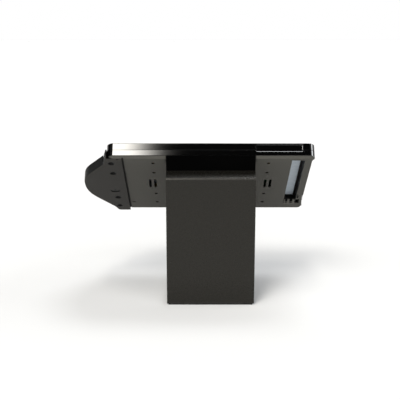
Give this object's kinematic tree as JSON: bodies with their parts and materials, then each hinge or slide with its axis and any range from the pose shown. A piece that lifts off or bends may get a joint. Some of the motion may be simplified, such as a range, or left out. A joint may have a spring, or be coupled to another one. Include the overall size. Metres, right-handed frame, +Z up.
{
  "type": "counter touch terminal",
  "caption": "Counter terminal for logging visitors: wide touch screen on a folded steel stand, with a side wing that reads swiped cards.",
  "frame": {"origin": "middle of the footprint of the stand, on the counter", "axes": "+Z up, -Y towards the person who uses the screen, +X towards the card reader wing"},
  "size_m": [0.457, 0.234, 0.3175],
  "materials": {
    "stand_paint": "fine texture powder coat, near black",
    "foot_rubber": "matt",
    "hinge_steel": "satin",
    "black_cover": "matt black",
    "gloss_frame": "high gloss black",
    "screen_glass": "polished, black border",
    "display": "dark",
    "zinc_steel": "zinc plated",
    "cover_plastic": "fine texture, dark warm grey",
    "wing_plastic": "fine texture, darker warm grey",
    "tray_plastic": "matt black",
    "black_screw": "black oxide",
    "circuit_board": "solder mask",
    "heat_aluminium": "extruded",
    "port_shell": "tin plated",
    "port_plastic": "moulded",
    "key_plastic": "satin",
    "head_metal": "lapped",
    "spring_steel": "bright"
  },
  "bodies": {
    "stand": {"stand_sheet": "stand_paint", "rubber_pad": "foot_rubber", "hinge_blocks": "hinge_steel"},
    "terminal": {"bay_shield": "zinc_steel", "bay_tray": "tray_plastic", "board_spacers": "zinc_steel", "button_switch": "port_plastic", "cable_comb": "cover_plastic", "chassis_plate": "zinc_steel", "cover_posts": "zinc_steel", "cover_screws": "black_screw", "display_panel": "display", "friction_washers": "spring_steel", "front_frame": "gloss_frame", "head_cover": "black_cover", "heat_sink": "heat_aluminium", "hinge_pins": "hinge_steel", "main_board": "circuit_board", "memory_module": "circuit_board", "mount_plate": "hinge_steel", "mount_posts": "zinc_steel", "mount_screws": "black_screw", "network_port": "port_shell", "power_jack": "port_plastic", "reader_board": "circuit_board", "rear_cover": "cover_plastic", "rear_frame": "gloss_frame", "speakers": "port_plastic", "storage_drive": "port_plastic", "top_bay_cover": "gloss_frame", "touch_glass": "screen_glass", "usb_ports": "port_shell", "video_port": "port_shell", "wing_back": "wing_plastic", "wing_front": "wing_plastic", "wing_screws": "black_screw"},
    "button": {"power_button": "key_plastic"},
    "head": {"read_head": "head_metal", "head_leaf_spring": "spring_steel"}
  },
  "joints": [
    {"name": "tilt", "type": "hinge", "parent": "stand", "child": "terminal", "pos_m": [0, 0.0782, 0.27701], "axis": [1, 0, 0], "range_deg": [0, 25]},
    {"name": "power_press", "type": "slide", "parent": "terminal", "child": "button", "axis": [0, 0.7716, 0.6361], "range_m": [0, 0.0009], "stiffness_N_per_m": 1200, "springref_m": -0.0006},
    {"name": "head_float", "type": "slide", "parent": "terminal", "child": "head", "axis": [1, 0, 0], "range_m": [0, 0.0005], "stiffness_N_per_m": 2000, "springref_m": -0.0006}
  ]
}
